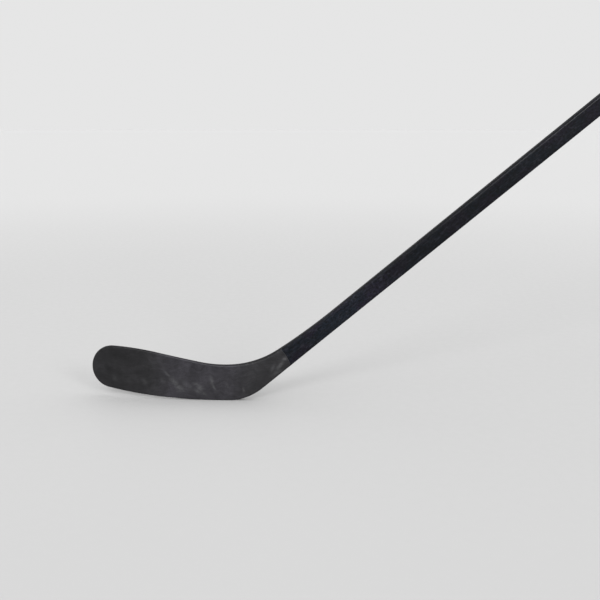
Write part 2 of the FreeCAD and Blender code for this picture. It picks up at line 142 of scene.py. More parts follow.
# how finely the meshes are cut
CORNER_STEPS = 8
NARROW_STEPS = 4
WIDE_STEPS = 8
RUNG_STEPS = 26
STATION_SPACING = 1.4
RING_SPACING = 2.5
SHAFT_SPACING = 12.0
CAP_SPACING = 0.7
STEM_SPACING = 5.0
CROSSING_STEPS = 6      # rounds in which a ring finds its width along the joint line
SMALLEST_CORNER = 0.5
WELD = 1e-6             # metres
SHARP = math.radians(32)


# ------------------------------------------------------------ outline

class Line:
    def __init__(self, start, stop):
        self.start = start
        self.length = np.linalg.norm(stop - start)
        self.way = (stop - start) / self.length

    def at(self, distance):
        return self.start + self.way * distance, self.way


class Arc:
    """Part of a circle, from one angle about its centre to another."""

    def __init__(self, centre, radius, start, stop):
        self.centre = centre
        self.radius = radius
        self.start = start
        self.turn = math.copysign(1, stop - start)
        self.length = radius * abs(stop - start)

    def at(self, distance):
        angle = self.start + self.turn * distance / self.radius
        outwards = np.array((math.cos(angle), math.sin(angle)))
        return self.centre + outwards * self.radius, turned_left(outwards) * self.turn


def turned_left(way):
    return np.array((-way[1], way[0]))


def angle_to(centre, point):
    """Angle of a point about a centre, from -270 to 90 degrees, so that it is whole round the toe."""
    angle = math.atan2(point[1] - centre[1], point[0] - centre[0])
    return angle if angle <= math.pi / 2 else angle - 2 * math.pi


def reach(start, way, centre, distance):
    """How far along a line its point is at a distance from a centre, the nearer and the farther."""
    offset = start - centre
    middle = -offset @ way
    half = math.sqrt(middle ** 2 - offset @ offset + distance ** 2)
    return middle - half, middle + half


UP = np.array((0.0, 1.0))
ROCKER = UP * ROCKER_RADIUS
heel_line = HEEL + ACROSS * HEEL_RADIUS
HEEL_TANGENT = reach(heel_line, ALONG, ROCKER, ROCKER_RADIUS - HEEL_RADIUS)[0]
HEEL_CENTRE = heel_line + ALONG * HEEL_TANGENT
toe_line = np.array((TOE_LOWER_RADIUS - TOE_REACH, 0.0))
toe_height = reach(toe_line, UP, ROCKER, ROCKER_RADIUS - TOE_LOWER_RADIUS)[0]
TOE_LOWER = toe_line + UP * toe_height
TOE_UPPER = np.array((TOE_UPPER_RADIUS - TOE_REACH, toe_height))
CROWN = TOE_UPPER + UP * (TOE_UPPER_RADIUS - CROWN_RADIUS)
slope_up = np.array((math.sin(SLOPE_ANGLE), math.cos(SLOPE_ANGLE)))
SLOPE_HIGH = CROWN + slope_up * CROWN_RADIUS
SLOPE_LOW = SLOPE_HIGH - turned_left(slope_up) * SLOPE_LENGTH
DIP = SLOPE_LOW + slope_up * DIP_RADIUS
THROAT = DIP - UP * (DIP_RADIUS - THROAT_RADIUS)
flare_line = HEEL + ACROSS * (SHAFT_WIDTH + FLARE_RADIUS)
FLARE_STATION = reach(flare_line, ALONG, THROAT, FLARE_RADIUS - THROAT_RADIUS)[1]
FLARE = flare_line + ALONG * FLARE_STATION


def in_shaft_frame(point):
    """Distance along the shaft from the heel corner, and distance across it from its lower side."""
    return (point - HEEL) @ ALONG, (point - HEEL) @ ACROSS


def circle_edge(centre, radius, station):
    """How far across the shaft the near edge of a circle lies at a station."""
    along, across = in_shaft_frame(centre)
    return across - math.sqrt(radius ** 2 - (station - along) ** 2)


throat_to_flare = THROAT + (THROAT - FLARE) / (FLARE_RADIUS - THROAT_RADIUS) * THROAT_RADIUS
FLARE_START = in_shaft_frame(throat_to_flare)[0]


def upper_edge(station):
    """Width of the stick at a station of the shaft."""
    if station >= FLARE_STATION:
        return SHAFT_WIDTH
    if station >= FLARE_START:
        return circle_edge(FLARE, FLARE_RADIUS, station)
    return circle_edge(THROAT, THROAT_RADIUS, station)


def joint_line(across, growth=0.0):
    """Station of the joint line at a distance across the shaft."""
    centre_along = JOINT_HEIGHT - JOINT_RADIUS * math.cos(JOINT_TILT)
    centre_across = SHAFT_WIDTH / 2 + JOINT_RADIUS * math.sin(JOINT_TILT)
    return centre_along + np.sqrt((JOINT_RADIUS + growth) ** 2 - (across - centre_across) ** 2)


# ------------------------------------------------------------ plan

hosel_side = np.array((HOSEL_TOP - BEND_START, SHAFT_HALF_DEPTH - HOSEL_BLEND - HEEL_HALF_THICKNESS))
hosel_reach = np.linalg.norm(hosel_side)
TAPER = math.tan(math.atan2(hosel_side[1], hosel_side[0]) + math.asin(HOSEL_BLEND / hosel_reach))
TAPER_END = BEND_START + math.sqrt(hosel_reach ** 2 - HOSEL_BLEND ** 2) / math.hypot(1, TAPER)


def bend(x, start, slope, radius):
    """Y and slope at X on an arc that leaves a point of the plan with a slope and curves to +Y."""
    angle = math.atan(slope)
    centre_x = start[0] - radius * math.sin(angle)
    centre_y = start[1] + radius * math.cos(angle)
    drop = np.sqrt(radius ** 2 - (np.clip(x, centre_x - radius, centre_x + radius) - centre_x) ** 2)
    return centre_y - drop, (x - centre_x) / drop


def side_y(x, side):
    """Y of the front (side -1) or the back (side 1) of the stick at X."""
    x = np.asarray(x, float)
    heel = (BEND_START, side * HEEL_HALF_THICKNESS)
    middle_y, middle_slope = bend(BEND_MIDDLE, heel, side * TAPER, HEEL_BEND[side])
    blade_heel = bend(x, heel, side * TAPER, HEEL_BEND[side])[0]
    blade_toe = bend(x, (BEND_MIDDLE, middle_y), middle_slope, TOE_BEND[side])[0]
    taper = side * (HEEL_HALF_THICKNESS + TAPER * (x - BEND_START))
    short = np.clip(HOSEL_TOP - x, 0, HOSEL_BLEND)
    blend = side * (SHAFT_HALF_DEPTH - HOSEL_BLEND + np.sqrt(HOSEL_BLEND ** 2 - short ** 2))
    return np.select([x >= TAPER_END, x >= BEND_START, x >= BEND_MIDDLE],
                     [blend, taper, blade_heel], blade_toe)


def edge_radius(x):
    """Small on the blade, growing along the hosel to the corner radius of the shaft."""
    share = np.clip((x - BEND_START) / (HOSEL_TOP - BEND_START), 0, 1)
    return BLADE_EDGE + (SHAFT_CORNER - BLADE_EDGE) * share


# ------------------------------------------------------------ sections

def between(first, second, share):
    return first + (second - first) * share


def smooth(share):
    share = np.clip(share, 0, 1)
    return share * share * (3 - 2 * share)


def corner(across, depth, turns):
    """Rows of a rounded corner, from its narrow side at turn 0 to its wide face at 90 degrees.

    A row holds its place across and in depth, 0 or 1, then how far in from the narrow side and
    how far under the wide face it lies, in corner radii.
    """
    return [(across, depth, 1 - math.cos(turn), 1 - math.sin(turn)) for turn in turns]


opening = np.linspace(0, math.pi / 2, CORNER_STEPS + 1)
closing = opening[::-1]
wide = np.linspace(0, 1, WIDE_STEPS + 1)[1:-1]
narrow = np.linspace(0, 1, NARROW_STEPS + 1)[1:-1]

SHAFT_SECTION = np.array(
    corner(0, 0, opening)
    + [(share, 0, 1, 0) for share in wide]
    + corner(1, 0, closing)
    + [(1, share, 0, 1) for share in narrow]
    + corner(1, 1, opening)
    + [(1 - share, 1, 1, 0) for share in wide]
    + corner(0, 1, closing)
    + [(0, 1 - share, 0, 1) for share in narrow])

# the same rows for the blade's edge, where the first number runs from its rounding to its inside
BAND_SECTION = np.array(
    [(1, 0, 1, 0), (0.5, 0, 1, 0)]
    + corner(0, 0, closing)
    + [(0, share, 0, 1) for share in narrow]
    + corner(0, 1, opening)
    + [(0.5, 1, 1, 0), (1, 1, 1, 0)]
    + [(1, 1 - share, 1, 0) for share in narrow])


def rim_weight(inwards, under):
    """1 in the middle of a rounded corner, 0 where it ends and on the faces."""
    return np.clip((1 - inwards - under) / (math.sqrt(2) - 1), 0, 1)


def ring(station, slant=0.0, layer=0.0, growth=0.0):
    """Points round the hosel or shaft, and their rim weights.

    slant is the ring's share of the joint line's shape, and layer how deep under the outside
    it lies.  A ring at the joint's own station with a slant of 1 runs along the joint line.
    """
    def along(across):
        return station + slant * (joint_line(across, growth) - JOINT_HEIGHT)

    width = upper_edge(station)
    for _ in range(CROSSING_STEPS):     # the joint line meets the upper edge where both agree
        width = upper_edge(along(width))
    across_share, depth_share, inwards, under = SHAFT_SECTION.T
    ends_x = [HEEL[0] + along(a) * ALONG[0] + a * ACROSS[0] for a in (0.0, width)]
    radii = [max(edge_radius(x) - layer, SMALLEST_CORNER) for x in ends_x]
    radius = between(*radii, across_share)
    across = between(layer + radius * inwards, width - layer - radius * inwards, across_share)
    flat = HEEL + np.outer(along(across), ALONG) + np.outer(across, ACROSS)
    hidden = layer + radius * under
    y = between(side_y(flat[:, 0], -1) + hidden, side_y(flat[:, 0], 1) - hidden, depth_share)
    return np.column_stack((flat[:, 0], y, flat[:, 1])), rim_weight(inwards, under)


def steps(start, stop, spacing):
    return np.linspace(start, stop, max(2, round(abs(stop - start) / spacing) + 1))


# ------------------------------------------------------------ meshes

def loft(name, rings, loop=False, ends=(True, True)):
    """A piece from rings of points: quads from ring to ring, its ends joined or filled."""
    count = len(rings[0][0])
    last = len(rings) - 1
    pairs = [(index, index + 1) for index in range(last)] + [(last, 0)] * loop
    faces = []
    for first, second in pairs:
        for here in range(count):
            there = (here + 1) % count
            faces.append((first * count + here, first * count + there,
                          second * count + there, second * count + here))
    for index, filled in zip((0, last), ends):
        if filled and not loop:
            faces.append(tuple(index * count + here for here in range(count)))

    mesh = bpy.data.meshes.new(name)
    mesh.from_pydata((np.concatenate([points for points, _ in rings]) * MM).tolist(), [], faces)
    rim = mesh.attributes.new("rim", "FLOAT", "POINT")
    rim.data.foreach_set("value", np.concatenate([weights for _, weights in rings]))
    shape = bmesh.new()
    shape.from_mesh(mesh)
    bmesh.ops.remove_doubles(shape, verts=shape.verts, dist=WELD)
    bmesh.ops.recalc_face_normals(shape, faces=shape.faces)
    shape.to_mesh(mesh)
    shape.free()
    mesh.shade_smooth()
    mesh.set_sharp_from_angle(angle=SHARP)

    piece = bpy.data.objects.new(name, mesh)
    bpy.context.scene.collection.objects.link(piece)
    normals = piece.modifiers.new("flat_faces_stay_flat", "WEIGHTED_NORMAL")
    normals.keep_sharp = True
    return piece


def shaft_piece():
    """The tube, its foot cut along the joint line, outside first and then back along the bore."""
    fading = [(station, 1 - smooth((station - JOINT_HEIGHT) / JOINT_FADE))
              for station in steps(JOINT_HEIGHT, FLARE_STATION, RING_SPACING)]
    straight = [(station, 0.0) for station in steps(FLARE_STATION, SHAFT_LENGTH, SHAFT_SPACING)[1:]]
    stations = fading + straight
    outside = [ring(station, slant, 0.0, SEAM_WIDTH) for station, slant in stations]
    bore = [ring(station, slant, TUBE_WALL, SEAM_WIDTH) for station, slant in reversed(stations)]
    return loft("shaft", outside + bore, loop=True)


def seam_piece():
    """The filled ring between blade and shaft, sunk a little in the middle of its width."""
    profile = [(0.0, 0.0), (0.0, 0.25), (SEAM_SINK, 0.5), (0.0, 0.75), (0.0, 1.0),
               (TENON_LAYER, 1.0), (TENON_LAYER, 0.0)]
    return loft("seam", [ring(JOINT_HEIGHT, 1.0, layer, SEAM_WIDTH * share)
                         for layer, share in profile], loop=True)


def hosel_piece():
    """The blade's hosel with the tenon that goes up into the shaft, hollow for its core."""
    def slant(station):
        return smooth((station - HOSEL_HEIGHT) / (JOINT_HEIGHT - HOSEL_HEIGHT))

    tenon_end = JOINT_HEIGHT + TENON_LENGTH
    outside = [ring(station, slant(station))
               for station in steps(HOSEL_HEIGHT, JOINT_HEIGHT, RING_SPACING)]
    tenon = [ring(station, 1 - smooth((station - JOINT_HEIGHT) / JOINT_FADE), TENON_LAYER)
             for station in steps(JOINT_HEIGHT, tenon_end, RING_SPACING)]
    hollow = [ring(station, 0.0, TENON_LAYER + TENON_WALL)
              for station in steps(tenon_end, HOSEL_HEIGHT, RING_SPACING)]
    return loft("hosel", outside + tenon + hollow, loop=True)


def drawn_in(points_and_weights, share):
    """A ring shrunk to a share of its size."""
    points, weights = points_and_weights
    return between(points.mean(axis=0), points, share), weights * 0


def cap_piece():
    """The plug of the butt, from the middle of its dished face round to inside its hollow stem."""
    top = SHAFT_LENGTH + CAP_THICKNESS
    stem_end = SHAFT_LENGTH - CAP_STEM
    floor_station = top - CAP_FLOOR
    rim_ring = ring(top, 0.0, CAP_EDGE)
    face = []
    for share, depth in DISH_PROFILE:
        points, weights = drawn_in(rim_ring, share)
        sunk = points - np.array((ALONG[0], 0, ALONG[1])) * CAP_DISH * depth
        face.append((sunk, weights))
    edge = [ring(top - CAP_EDGE * (1 - math.sin(turn)), 0.0, CAP_EDGE * (1 - math.cos(turn)))
            for turn in closing]
    side = [ring(station) for station in steps(top - CAP_EDGE, SHAFT_LENGTH, CAP_SPACING)[1:]]
    stem = [ring(station, 0.0, TENON_LAYER)
            for station in steps(SHAFT_LENGTH, stem_end, STEM_SPACING)]
    hollow = [ring(station, 0.0, TENON_LAYER + CAP_WALL)
              for station in steps(stem_end, floor_station, STEM_SPACING)]
    ceiling = [drawn_in(hollow[-1], share) for share in CEILING_SHARES]
    rings = face + edge + side + stem + hollow + ceiling
    return loft("butt_plug", rings, ends=(False, False))


# ------------------------------------------------------------ blade

def walk(chain, count):
    """Points and headings at even distances along a chain of lines and arcs."""
    total = sum(part.length for part in chain)
    points, ways = [], []
    parts = iter(chain)
    part = next(parts)
    passed = 0.0
    for distance in np.linspace(0, total, count):
        while distance > passed + part.length and part is not chain[-1]:
            passed += part.length
            part = next(parts)
        point, way = part.at(distance - passed)
        points.append(point)
        ways.append(way)
    return np.array(points), np.array(ways)


def blade_rails():
    """The blade's outline from the hosel's foot to the tip of the toe, below and above.

    Each rail is a row of points and of directions into the blade; rung by rung the two match.
    """
    quarter = math.pi / 2
    foot_low = HEEL + ALONG * HOSEL_HEIGHT
    foot_high = foot_low + ACROSS * upper_edge(HOSEL_HEIGHT)
    lower = [
        Line(foot_low, HEEL + ALONG * HEEL_TANGENT),
        Arc(HEEL_CENTRE, HEEL_RADIUS, ANGLE - quarter, angle_to(ROCKER, HEEL_CENTRE)),
        Arc(ROCKER, ROCKER_RADIUS, angle_to(ROCKER, HEEL_CENTRE), angle_to(ROCKER, TOE_LOWER)),
        Arc(TOE_LOWER, TOE_LOWER_RADIUS, angle_to(ROCKER, TOE_LOWER), -2 * quarter),
    ]
    upper = [
        Arc(THROAT, THROAT_RADIUS, angle_to(THROAT, foot_high), -quarter),
        Arc(DIP, DIP_RADIUS, -quarter, -quarter - SLOPE_ANGLE),
        Line(SLOPE_LOW, SLOPE_HIGH),
        Arc(CROWN, CROWN_RADIUS, quarter - SLOPE_ANGLE, quarter),
        Arc(TOE_UPPER, TOE_UPPER_RADIUS, quarter, 2 * quarter),
    ]
    count = round(sum(part.length for part in lower) / STATION_SPACING)
    low_points, low_ways = walk(lower, count)
    high_points, high_ways = walk(upper, count)
    low_inwards = np.array([-turned_left(way) for way in low_ways])
    square = np.array([turned_left(way) for way in high_ways])
    # the upper rail starts along the hosel's foot, which is square to the shaft
    share = smooth(np.arange(count) * STATION_SPACING / FOOT_FADE)[:, None]
    high_inwards = between(-ACROSS, square, share)
    high_inwards /= np.linalg.norm(high_inwards, axis=1)[:, None]
    return (low_points, low_inwards), (high_points, high_inwards)


def band_ring(point, inwards):
    """The section of the laminate round the blade's edge at a point of the outline."""
    strip, depth_share, inside, under = BAND_SECTION.T
    radius = min(edge_radius(point[0]), EDGE_BAND)
    flat = point + np.outer(radius * inside + (EDGE_BAND - radius) * strip, inwards)
    hidden = radius * under
    y = between(side_y(flat[:, 0], -1) + hidden, side_y(flat[:, 0], 1) - hidden, depth_share)
    weights = np.where(strip > 0, 0.0, rim_weight(inside, under))
    return np.column_stack((flat[:, 0], y, flat[:, 1])), weights


def band_piece(low, high):
    """The laminate wrap from the hosel's foot along the sole, round the toe and back."""
    below = [band_ring(*station) for station in zip(*low)]
    above = [band_ring(*station) for station in zip(*high)]
    return loft("edge_wrap", below + above[-2::-1])


def face_piece(name, side, low, high):
    """A laminate skin of the blade, within the band."""
    starts = low[0] + low[1] * EDGE_BAND
    stops = high[0] + high[1] * EDGE_BAND
    shares = np.linspace(0, 1, RUNG_STEPS + 1)[:, None]
    rings = []
    for start, stop in zip(starts, stops):
        flat = between(start, stop, shares)
        outer_y = side_y(flat[:, 0], side)
        outer = np.column_stack((flat[:, 0], outer_y, flat[:, 1]))
        inner = np.column_stack((flat[:, 0], outer_y - side * SKIN, flat[:, 1]))
        rings.append((np.concatenate((outer, inner[::-1])), np.zeros(2 * len(flat))))
    return loft(name, rings, ends=(True, False))


# ------------------------------------------------------------ finishes

class Finish:
    """The node tree of one material, with short calls for the nodes that the finishes share."""

    def __init__(self, name, constants):
        self.material = bpy.data.materials.new(name)
        self.material.use_nodes = True
        self.tree = self.material.node_tree
        self.shader = self.tree.nodes["Principled BSDF"]
        for socket, value in constants.items():
            self.shader.inputs[socket].default_value = value
        self.place = self.add("TexCoord").outputs["Object"]

    @cached_property
    def rim(self):
        """1 along the middle of a rounded corner, 0 on the faces."""
        return self.add("Attribute", attribute_name="rim").outputs["Fac"]

    @cached_property
    def normal(self):
        return self.axes(self.add("NewGeometry").outputs["Normal"])

    @cached_property
    def narrow(self):
        """1 on the narrow sides, 0 on the wide faces."""
        return self.span(self.calc("ABSOLUTE", self.normal[1]), 0.80, 0.35)

    def add(self, kind, inputs=(), **settings):
        node = self.tree.nodes.new("ShaderNode" + kind)
        for name, value in settings.items():
            setattr(node, name, value)
        for socket, value in dict(inputs).items():
            self.feed(node.inputs[socket], value)
        return node

    def feed(self, socket, value):
        if isinstance(value, bpy.types.NodeSocket):
            self.tree.links.new(value, socket)
        else:
            socket.default_value = value

    def mapped(self, vector, shift=(0, 0, 0), turn=(0, 0, 0), scale=(1, 1, 1)):
        node = self.add("Mapping", {"Vector": vector, "Location": shift, "Rotation": turn,
                                    "Scale": scale})
        return node.outputs["Vector"]

    def noise(self, vector, scale, detail=4.0, roughness=0.5, distortion=0.0, output="Fac"):
        node = self.add("TexNoise", {"Vector": vector, "Scale": scale, "Detail": detail,
                                     "Roughness": roughness, "Distortion": distortion})
        return node.outputs[output]

    def cells(self, vector, scale, output):
        return self.add("TexVoronoi", {"Vector": vector, "Scale": scale}).outputs[output]

    def axes(self, vector):
        return self.add("SeparateXYZ", {0: vector}).outputs

    def calc(self, operation, first, second=0.0):
        return self.add("Math", {0: first, 1: second}, operation=operation).outputs[0]

    def times(self, first, *others):
        for other in others:
            first = self.calc("MULTIPLY", first, other)
        return first

    def plus(self, first, *others):
        for other in others:
            first = self.calc("ADD", first, other)
        return first

    def span(self, value, low, high, to_low=0.0, to_high=1.0):
        """A value eased from one range to another and held at its ends."""
        node = self.add("MapRange", {"Value": value, "From Min": low, "From Max": high,
                                     "To Min": to_low, "To Max": to_high},
                        interpolation_type="SMOOTHSTEP")
        return node.outputs["Result"]

    def mix(self, share, first, second, blend="MIX"):
        node = self.add("Mix", {0: share, 6: first, 7: second}, data_type="RGBA", blend_type=blend)
        return node.outputs[2]

    def shaded(self, tint, level):
        """A colour made darker or paler by a number."""
        grey = self.add("CombineColor", {0: level, 1: level, 2: level}).outputs[0]
        return self.mix(1.0, tint, grey, "MULTIPLY")

    def bump(self, height, distance, strength=1.0, under=None):
        node = self.add("Bump", {"Height": height, "Distance": distance, "Strength": strength})
        if under is not None:
            self.feed(node.inputs["Normal"], under)
        return node.outputs["Normal"]

    def weave(self, vector, tow):
        """Twill of tows of a width: 0 between two tows, 1 along the middle of one."""
        x, y, z = self.axes(vector)
        along = self.calc("DIVIDE", x, tow)
        across = self.calc("DIVIDE", self.plus(y, z), tow)
        steps_taken = self.plus(self.calc("FLOOR", along), self.calc("FLOOR", across))
        on_top = self.calc("LESS_THAN", self.calc("FLOORED_MODULO", steps_taken, 4.0), 1.5)
        rows = self.calc("SINE", self.times(self.calc("FRACT", across), math.pi))
        columns = self.calc("SINE", self.times(self.calc("FRACT", along), math.pi))
        return self.add("Mix", {0: on_top, 2: columns, 3: rows}, data_type="FLOAT").outputs[0]

    def done(self, tint, roughness, normal):
        self.feed(self.shader.inputs["Base Color"], tint)
        self.feed(self.shader.inputs["Roughness"], roughness)
        self.feed(self.shader.inputs["Normal"], normal)
        return self.material


def colour(red, green, blue):
    return (red, green, blue, 1.0)


# from here on, places and sizes in the materials are in metres, as the nodes take them
TWILL_TOW = 0.002


def shaft_tint(finish, shaft, weave):
    """Violet and teal drift, a paler mottle and crossing streaks, in paler and darker stretches."""
    drift = finish.noise(finish.mapped(shaft, scale=(0.7, 1, 1)), 34.0, 3.0)
    mottle = finish.noise(shaft, 130.0, 5.0, 0.65)
    speckle = finish.noise(finish.mapped(shaft, scale=(0.5, 1, 1)), 420.0, 3.0, 0.6)
    crossing = finish.mapped(shaft, turn=(0, -0.8, 0), scale=(70, 70, 650))
    streaks = finish.span(finish.noise(crossing, 1.0, 4.0, 0.6), 0.54, 0.72)
    tint = finish.mix(finish.span(drift, 0.44, 0.57), colour(0.0043, 0.0038, 0.0074),
                      colour(0.0027, 0.0041, 0.0067))
    tint = finish.mix(finish.span(mottle, 0.50, 0.68, 0.0, 0.8), tint, colour(0.011, 0.011, 0.0152))
    # the foot of the shaft is dark, the stretch above it paler, the one beyond that darkest
    height = finish.axes(finish.place)[2]
    tint = finish.shaded(tint, finish.times(
        finish.span(weave, 0.0, 1.0, 0.80, 1.12),
        finish.span(speckle, 0.38, 0.62, 0.40, 1.75),
        finish.span(height, 0.11, 0.15, 0.75, 1.05),
        finish.span(height, 0.19, 0.25, 1.38, 0.62),
        finish.span(height, 0.34, 0.46, 1.0, 1.30)))
    return finish.mix(finish.times(streaks, 0.60), tint, colour(0.021, 0.022, 0.030))


def satin_shaft():
    """Satin clear coat over near-black carbon, with fine scratches, painted shade on the narrow
    sides, and corners paler from wear and a painted highlight.
    """
    finish = Finish("satin_shaft", {"Specular IOR Level": 0.08, "Coat Weight": 0.10,
                                    "Coat Roughness": 0.16})
    shaft = finish.mapped(finish.place, turn=(0, ANGLE, 0))     # X along the shaft, Z across
    weave = finish.weave(shaft, TWILL_TOW)
    scratch_place = finish.mapped(shaft, turn=(0, 0.05, 0), scale=(2.2, 70, 70))
    scratches = finish.span(finish.noise(scratch_place, 14.0, 6.0, 0.7), 0.66, 0.78)
    chips = finish.span(finish.noise(shaft, 420.0, 4.0, 0.7), 0.56, 0.70)
    worn = finish.times(finish.span(finish.rim, 0.45, 1.0), chips)

    tint = shaft_tint(finish, shaft, weave)
    # painted shade: the narrow sides are made darker than the wide faces
    tint = finish.mix(finish.times(finish.narrow, 0.5), tint, colour(0.002, 0.002, 0.0025))
    tint = finish.mix(finish.times(scratches, 0.35), tint, colour(0.024, 0.025, 0.029))
    # the corners are made paler in patches, part wear and part a painted highlight along them
    tint = finish.mix(finish.times(worn, 0.5), tint, colour(0.040, 0.040, 0.044))

    rough = finish.span(finish.noise(shaft, 45.0), 0.3, 0.7, 0.34, 0.46)
    rough = finish.plus(rough, finish.times(finish.rim, -0.06), finish.times(finish.narrow, 0.35),
                        finish.times(worn, 0.20), finish.times(scratches, 0.10))

    normal = finish.bump(weave, 0.00003, 0.5)
    normal = finish.bump(finish.noise(shaft, 350.0, 3.0), 0.00006, 0.5, normal)
    normal = finish.bump(scratches, -0.00002, 0.6, normal)
    return finish.done(tint, rough, normal)


# rubbed marks on the convex face and the hosel: X and Z of the middle, length and width,
# lean of the length above +X in degrees, and strength
PALE_MARKS = (
    (-0.100, 0.046, 0.020, 0.0050, -50, 0.32),      # long diagonal smear: its thin start,
    (-0.087, 0.031, 0.026, 0.0105, -48, 0.50),      # its core
    (-0.079, 0.022, 0.018, 0.0120, -42, 0.52),
    (-0.069, 0.028, 0.026, 0.0100, -60, 0.22),      # and the haze beside it
    (-0.060, 0.024, 0.018, 0.0090, -60, 0.20),
    (-0.048, 0.029, 0.016, 0.0060, -15, 0.38),      # a patch of short strokes
    (-0.043, 0.023, 0.015, 0.0110, -60, 0.50),
    (-0.047, 0.017, 0.016, 0.0065, -20, 0.40),
    (-0.035, 0.012, 0.014, 0.0070, -38, 0.22),
    (-0.0215, 0.036, 0.018, 0.0070, -80, 0.46),     # an upright smear that thins downwards
    (-0.0175, 0.024, 0.014, 0.0048, -68, 0.42),
    (0.007, 0.027, 0.012, 0.0060, -65, 0.16),       # two small dabs by the heel
    (0.035, 0.020, 0.010, 0.0045, -78, 0.34),
    (0.1000, 0.0660, 0.021, 0.0070, 56, 0.50),      # strokes on the hosel
    (0.1073, 0.0776, 0.0085, 0.0075, 30, 0.72),
    (0.0865, 0.0600, 0.018, 0.0060, 60, 0.24),
    (0.0930, 0.0520, 0.020, 0.0075, 30, 0.28),
    (-0.198, 0.032, 0.013, 0.0095, -40, 0.13),      # faint dabs towards the toe
    (-0.172, 0.031, 0.012, 0.0090, 20, 0.08),
    (-0.142, 0.031, 0.016, 0.0095, -60, 0.18),
    (-0.109, 0.035, 0.014, 0.0090, -50, 0.16),
)
# darker clouds on the toe's half of the face
DARK_MARKS = (
    (-0.208, 0.048, 0.018, 0.0150, -30, 1.0),
    (-0.186, 0.042, 0.016, 0.0100, -30, 0.6),
    (-0.180, 0.074, 0.050, 0.0220, -8, 0.8),
    (-0.136, 0.048, 0.034, 0.0160, 80, 0.3),
)
MARK_FALL = -1.2        # how fast a mark fades from its middle outwards


def marks(finish, rows):
    """The strongest of the marks at a place, its sides frayed and its strength torn by noise."""
    fibre_place = finish.mapped(finish.place, turn=(0, 0.8, 0), scale=(70, 70, 420))
    fray = finish.calc("SUBTRACT", finish.noise(fibre_place, 1.0, 4.0, 0.65), 0.5)
    torn = finish.span(finish.noise(finish.place, 260.0, 4.0, 0.6, 0.6), 0.34, 0.60, 0.62, 1.0)
    total = 0.0
    for x, z, length, width, lean, strength in rows:
        centred = finish.mapped(finish.place, shift=(-x, 0, -z))
        along, _, across = finish.axes(finish.mapped(centred, turn=(0, math.radians(lean), 0)))
        across = finish.plus(across, finish.times(fray, width))
        far = finish.plus(*(finish.calc("POWER", finish.calc("DIVIDE", distance, size / 2), 2.0)
                            for distance, size in ((along, length), (across, width))))
        patch = finish.calc("EXPONENT", finish.times(far, MARK_FALL))
        total = finish.calc("MAXIMUM", finish.times(patch, strength), total)
    return finish.times(total, torn)


def tone_and_painted_light(finish, tint):
    """Tones that change along the blade and round its edge: painted light and shade, and a darker
    hosel.
    """
    x = finish.axes(finish.place)[0]
    # painted light makes the middle of the blade paler and a little violet and painted shade makes
    # the toe darkest; the hosel is a bit darker
    middle = finish.times(finish.span(x, -0.135, -0.090), finish.span(x, 0.055, -0.002))
    tint = finish.mix(middle, tint, colour(1.30, 1.26, 1.36), "MULTIPLY")
    toe = finish.span(x, -0.172, -0.100, 0.64, 1.0)
    hosel = finish.span(x, 0.045, 0.075, 1.02, 0.88)
    # a painted highlight lies along the upper rounding of the blade, and painted shade keeps the
    # lower one dark
    upper_rim = finish.times(finish.rim, finish.span(finish.normal[2], 0.2, 0.6))
    lower_rim = finish.times(finish.rim, finish.span(finish.normal[2], -0.2, -0.6))
    lit = finish.plus(finish.times(upper_rim, middle, 0.8), 1.0)
    unlit = finish.span(lower_rim, 0.0, 1.0, 1.0, 0.55)
    # painted shade: the narrow sides are made darker than the wide faces
    narrow_side_shade = finish.span(finish.narrow, 0.0, 1.0, 1.0, 0.55)
    return finish.shaded(tint, finish.times(toe, hosel, lit, unlit, narrow_side_shade))


def laminate_wear(finish):
    """Scuffs along the sole and chipped corners."""
    height = finish.axes(finish.place)[2]
    scuffs = finish.noise(finish.mapped(finish.place, scale=(18, 60, 240)), 4.0, 6.0, 0.7)
    sole = finish.times(finish.span(height, 0.009, 0.0), finish.span(scuffs, 0.58, 0.72))
    chips = finish.span(finish.noise(finish.place, 260.0, 5.0, 0.7), 0.50, 0.66)
    corners = finish.times(finish.span(finish.rim, 0.3, 1.0), chips)
    return finish.calc("MAXIMUM", sole, corners)


